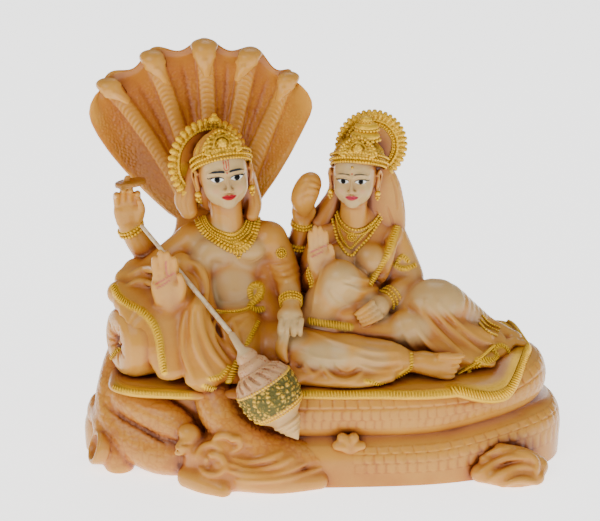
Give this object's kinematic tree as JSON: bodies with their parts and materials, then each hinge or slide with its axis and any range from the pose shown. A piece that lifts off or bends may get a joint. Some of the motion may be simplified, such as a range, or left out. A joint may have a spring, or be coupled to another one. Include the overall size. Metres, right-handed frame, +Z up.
{
  "type": "vishnu and lakshmi figure",
  "caption": "Cast and hand-painted resin group of a four-armed god and his consort seated on a coiled serpent whose hood fans out behind them.",
  "frame": {"origin": "middle of the serpent couch, on its flat underside", "axes": "+X to the viewer's right along the couch, +Y to the back, +Z up; the figures face -Y"},
  "size_m": [0.2438, 0.1148, 0.2115],
  "materials": {
    "painted_resin": "cast marble-dust resin, airbrushed orange in the hollows over cream, with gold paint on the ornaments, satin",
    "pale_rod": "cream painted, satin"
  },
  "bodies": {
    "root": {"figure_group": "painted_resin", "mace_rod": "pale_rod"}
  },
  "joints": []
}
